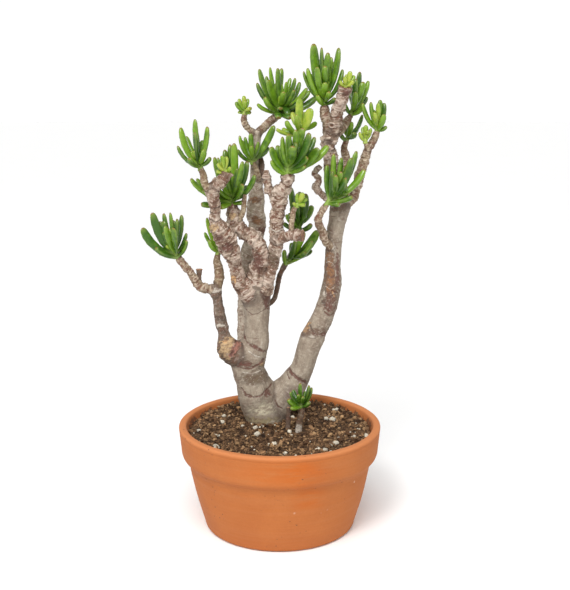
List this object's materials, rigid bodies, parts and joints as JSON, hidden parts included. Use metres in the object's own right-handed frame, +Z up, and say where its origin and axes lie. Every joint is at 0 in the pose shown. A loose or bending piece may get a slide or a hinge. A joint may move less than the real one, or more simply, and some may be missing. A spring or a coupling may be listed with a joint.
{
  "type": "potted jade plant",
  "caption": "Old finger-leaf jade plant with twisted bare stems and tufts of finger-shaped leaves, growing in a low round clay pan with a rolled band and a drain hole.",
  "frame": {"origin": "middle of the whole object's box, on the surface that the pot stands on", "axes": "+Z up along the pot, +X to the right of the side that the two trunks face, -Y towards that side"},
  "size_m": [0.2498, 0.21, 0.4954],
  "materials": {
    "terracotta": "matte, unglazed",
    "soil": "rough",
    "old_bark": "smooth bark",
    "bark": "knobbly bark",
    "dry_wood": "dry bark",
    "green_stem": "young bark",
    "leaf": "waxy gloss"
  },
  "bodies": {
    "root": {"terracotta_pot": "terracotta", "potting_soil": "soil", "left_trunk": "old_bark", "right_trunk": "old_bark", "back_stem": "old_bark", "side_branch": "bark", "side_shoot": "bark", "side_arm": "bark", "side_stub": "bark", "front_branch": "bark", "front_twig": "bark", "front_stub": "bark", "middle_branch": "bark", "middle_twig": "bark", "centre_branch": "bark", "centre_dry_twig": "dry_wood", "centre_low_arm": "bark", "centre_thin_shoot": "bark", "centre_back_shoot": "bark", "hidden_twig": "bark", "hidden_shoot": "bark", "back_left_twig": "bark", "back_right_twig": "bark", "back_short_twig": "bark", "back_dead_stub": "dry_wood", "right_limb": "bark", "right_limb_twig": "bark", "upper_trunk": "bark", "top_arm": "bark", "top_stub": "bark", "top_right_arm": "bark", "inner_stem": "bark", "gnarled_twig": "bark", "right_front_stem": "bark", "young_stem": "green_stem", "dead_stub": "dry_wood", "back_left_leaves": "leaf", "back_right_leaves": "leaf", "back_short_leaves": "leaf", "side_shoot_leaves": "leaf", "side_arm_leaves": "leaf", "front_twig_leaves": "leaf", "front_stub_leaves": "leaf", "middle_leaves": "leaf", "centre_leaves": "leaf", "centre_top_leaves": "leaf", "thin_shoot_leaves": "leaf", "hidden_high_leaves": "leaf", "hidden_low_leaves": "leaf", "top_leaves": "leaf", "top_stub_leaves": "leaf", "top_right_leaves": "leaf", "inner_leaves": "leaf", "right_limb_leaves": "leaf", "right_twig_leaves": "leaf", "right_front_leaves": "leaf", "young_leaves": "leaf"}
  },
  "joints": []
}
